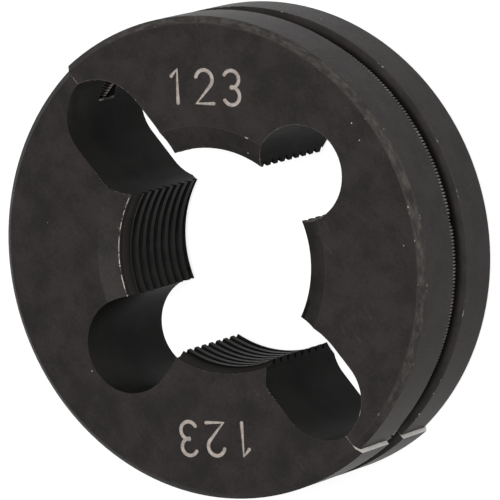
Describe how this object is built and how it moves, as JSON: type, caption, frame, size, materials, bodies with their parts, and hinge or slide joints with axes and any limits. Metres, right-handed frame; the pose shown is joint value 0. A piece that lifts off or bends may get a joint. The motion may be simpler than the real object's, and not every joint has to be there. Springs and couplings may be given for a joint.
{
  "type": "threading die",
  "caption": "Round threading die split into halves, with flutes round a threaded bore and a garter spring in a rim groove.",
  "frame": {"origin": "on the plain back face, at the middle of the die's bounding box", "axes": "+Z along the die's axis, out of the marked face; +X along the saw cut; +Y towards the rear half"},
  "size_m": [0.0504, 0.0486, 0.0153],
  "materials": {
    "die_steel": "blackened, satin, with bare ground edges",
    "spring_steel": "drawn wire"
  },
  "bodies": {
    "front_half": {"front_half": "die_steel", "garter_spring": "spring_steel"},
    "rear_half": {"rear_half": "die_steel"}
  },
  "joints": [
    {"name": "opening", "type": "slide", "parent": "front_half", "child": "rear_half", "axis": [0, 1, 0], "range_m": [0, 0.006], "stiffness_N_per_m": 270, "springref_m": -0.007, "deforming": ["garter_spring"]}
  ]
}
